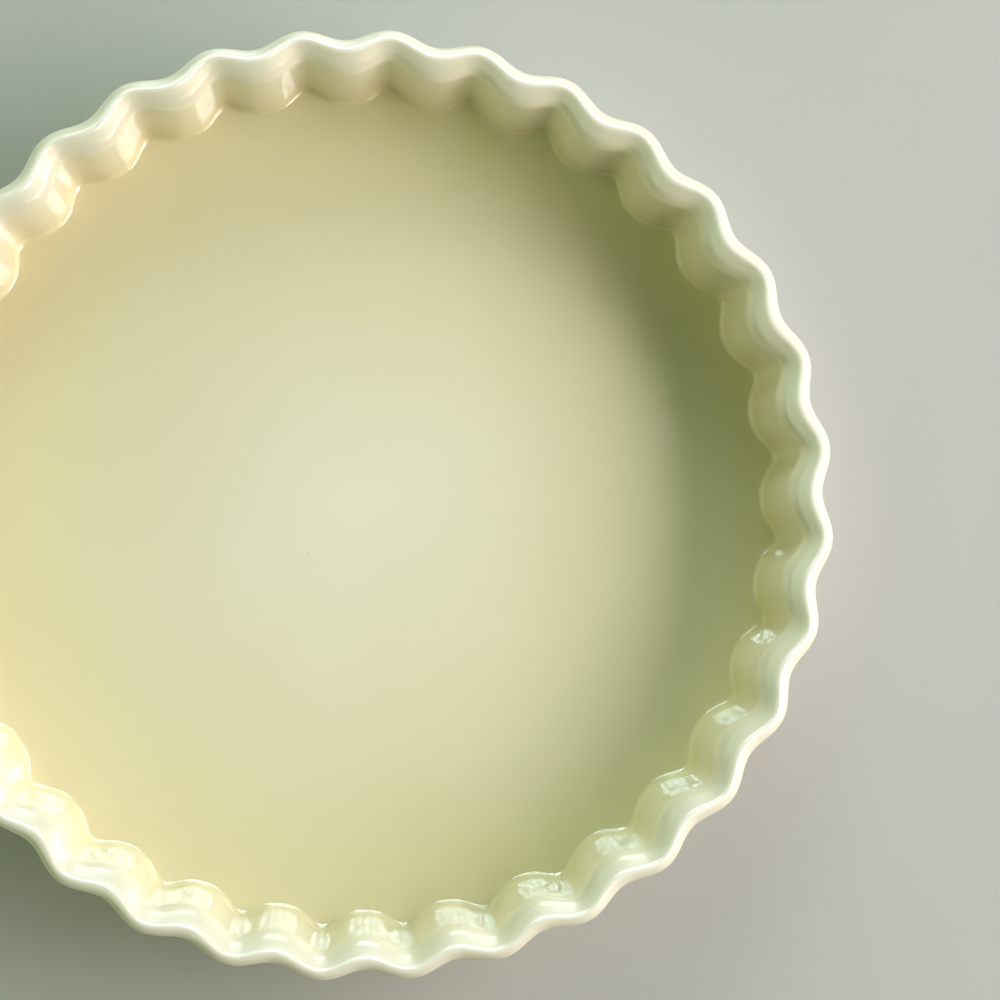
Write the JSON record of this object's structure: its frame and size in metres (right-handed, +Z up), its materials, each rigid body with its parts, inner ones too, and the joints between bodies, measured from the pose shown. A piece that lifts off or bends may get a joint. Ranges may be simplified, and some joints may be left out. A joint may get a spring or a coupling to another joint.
{
  "type": "fluted quiche dish",
  "caption": "Round shallow baking dish with a fluted, slightly flared wall, a rounded wavy rim, a flat floor and a low foot ring underneath.",
  "frame": {"origin": "centre of the foot ring's resting plane, under the middle of the dish", "axes": "+Z up through the middle of the dish; a flute's crest lies on +X, -X, +Y and -Y"},
  "size_m": [0.28, 0.28, 0.04],
  "materials": {
    "cream_glaze": "glossy cream glaze over stoneware, bare on the foot ring"
  },
  "bodies": {
    "root": {"fluted_dish": "cream_glaze"}
  },
  "joints": []
}
